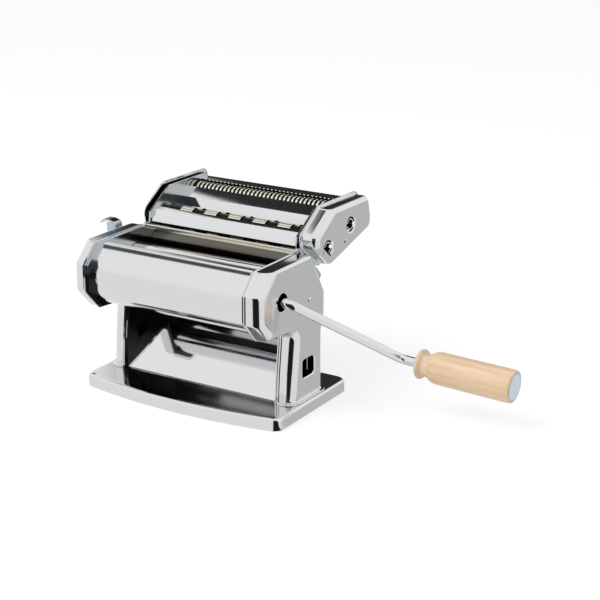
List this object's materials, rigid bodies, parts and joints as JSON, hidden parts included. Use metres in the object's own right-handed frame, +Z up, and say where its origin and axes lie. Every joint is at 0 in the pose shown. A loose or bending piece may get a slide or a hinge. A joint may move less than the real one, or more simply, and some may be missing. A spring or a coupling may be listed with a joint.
{
  "type": "pasta machine",
  "caption": "Hand-cranked pasta machine: smooth rollers in a polished stand with a crank, a thickness regulator and a lift-off cutter head.",
  "frame": {"origin": "on the table, midway between the side covers and near the middle of the base plate", "axes": "+X along the rollers towards the crank, -Y towards the user and the bowed front edge, +Z up"},
  "size_m": [0.375, 0.185, 0.167],
  "materials": {
    "chrome_sheet": "mirror polished",
    "zinc_plate": "bluish zinc plating, polished",
    "roller_steel": "polished, hard chromed",
    "cutter_steel": "turned",
    "gear_steel": "hobbed",
    "bush_bronze": "turned",
    "fastener_steel": "zinc plated",
    "spring_steel": "drawn wire",
    "beech": "turned, lightly waxed",
    "pale_plastic": "smooth",
    "black_plastic": "fine satin",
    "scraper_plastic": "plain",
    "foot_rubber": "matte"
  },
  "bodies": {
    "stand": {"base_plate": "chrome_sheet", "rubber_feet": "foot_rubber", "frame_screws": "fastener_steel", "base_nuts": "fastener_steel", "side_cover_right": "chrome_sheet", "side_cover_left": "chrome_sheet", "cover_rivets": "fastener_steel", "side_frame_right": "zinc_plate", "side_frame_left": "zinc_plate", "front_hood": "chrome_sheet", "rear_guide": "chrome_sheet", "outlet_chute": "chrome_sheet", "front_scraper": "scraper_plastic", "rear_scraper": "scraper_plastic", "stand_rods": "fastener_steel", "stand_nuts": "fastener_steel", "roller_bushes": "bush_bronze", "regulator_dial": "chrome_sheet"},
    "front_roller": {"drive_roller": "roller_steel", "drive_gear": "gear_steel"},
    "bearing_carriage": {"bearing_block_left": "gear_steel", "bearing_block_right": "gear_steel", "block_link_bar": "fastener_steel"},
    "rear_roller": {"adjustable_roller": "roller_steel", "adjustable_gear": "gear_steel"},
    "crank": {"crank_rod": "chrome_sheet", "grip_washer": "fastener_steel"},
    "grip": {"wooden_grip": "beech", "grip_end_cap": "pale_plastic"},
    "regulator": {"regulator_shaft": "gear_steel", "shaft_screw": "fastener_steel", "knob_washer": "fastener_steel", "knob_spring": "spring_steel"},
    "knob": {"regulator_knob": "black_plastic", "knob_cap": "black_plastic", "detent_pin": "fastener_steel", "regulator_lever": "zinc_plate"},
    "cutter_head": {"cutter_cover_right": "chrome_sheet", "cutter_cover_left": "chrome_sheet", "cutter_plate_right": "zinc_plate", "cutter_plate_left": "zinc_plate", "cutter_rivets": "fastener_steel", "cutter_front_sheet": "chrome_sheet", "cutter_ridge_sheet": "chrome_sheet", "cutter_back_cover": "chrome_sheet", "cutter_rods": "fastener_steel", "cutter_nuts": "fastener_steel", "cutter_bushes": "bush_bronze", "wide_comb_front": "scraper_plastic", "wide_comb_rear": "scraper_plastic", "fine_comb_front": "scraper_plastic", "fine_comb_rear": "scraper_plastic"},
    "wide_front": {"wide_roller_front": "cutter_steel", "wide_gear_front": "gear_steel"},
    "wide_rear": {"wide_roller_rear": "cutter_steel", "wide_gear_rear": "gear_steel"},
    "fine_front": {"fine_roller_front": "cutter_steel", "fine_gear_front": "gear_steel"},
    "fine_rear": {"fine_roller_rear": "cutter_steel", "fine_gear_rear": "gear_steel"}
  },
  "joints": [
    {"name": "front_roller_spin", "type": "hinge", "parent": "stand", "child": "front_roller", "pos_m": [0, -0.0395, 0.1057], "axis": [1, 0, 0], "continuous": true},
    {"name": "regulator_turn", "type": "hinge", "parent": "stand", "child": "regulator", "pos_m": [-0.1, -0.00612, 0.1057], "axis": [-1, 0, 0], "range_deg": [0, 150]},
    {"name": "knob_pull", "type": "slide", "parent": "regulator", "child": "knob", "axis": [-1, 0, 0], "range_m": [0, 0.003], "stiffness_N_per_m": 500, "springref_m": -0.003, "deforming": ["knob_spring"]},
    {"name": "roller_gap_slide", "type": "slide", "parent": "stand", "child": "bearing_carriage", "axis": [0, -1, 0], "range_m": [0, 0.00224]},
    {"name": "rear_roller_spin", "type": "hinge", "parent": "bearing_carriage", "child": "rear_roller", "pos_m": [0, -0.005, 0.1057], "axis": [1, 0, 0], "continuous": true},
    {"name": "crank_pull_out", "type": "slide", "parent": "front_roller", "child": "crank", "axis": [1, 0, 0], "range_m": [0, 0.025]},
    {"name": "grip_spin", "type": "hinge", "parent": "crank", "child": "grip", "pos_m": [0.158, 0.0443, 0.0438], "axis": [0.9993, 0, -0.0361], "continuous": true},
    {"name": "cutter_head_slide", "type": "slide", "parent": "stand", "child": "cutter_head", "axis": [0, -0.712, 0.7022], "range_m": [0, 0.045]},
    {"name": "wide_front_spin", "type": "hinge", "parent": "cutter_head", "child": "wide_front", "pos_m": [0, 0.0317, 0.1332], "axis": [1, 0, 0], "continuous": true},
    {"name": "wide_rear_spin", "type": "hinge", "parent": "cutter_head", "child": "wide_rear", "pos_m": [0, 0.0448, 0.13686], "axis": [1, 0, 0], "continuous": true},
    {"name": "fine_front_spin", "type": "hinge", "parent": "cutter_head", "child": "fine_front", "pos_m": [0, 0.06853, 0.14483], "axis": [1, 0, 0], "continuous": true},
    {"name": "fine_rear_spin", "type": "hinge", "parent": "cutter_head", "child": "fine_rear", "pos_m": [0, 0.08375, 0.14908], "axis": [1, 0, 0], "continuous": true}
  ],
  "couplings": [
    {"joint": "rear_roller_spin", "follows": "front_roller_spin", "ratio": -1},
    {"joint": "regulator_turn", "follows": "roller_gap_slide", "rad_per_m": 1168.7},
    {"joint": "wide_rear_spin", "follows": "wide_front_spin", "ratio": -1},
    {"joint": "fine_rear_spin", "follows": "fine_front_spin", "ratio": -1}
  ]
}
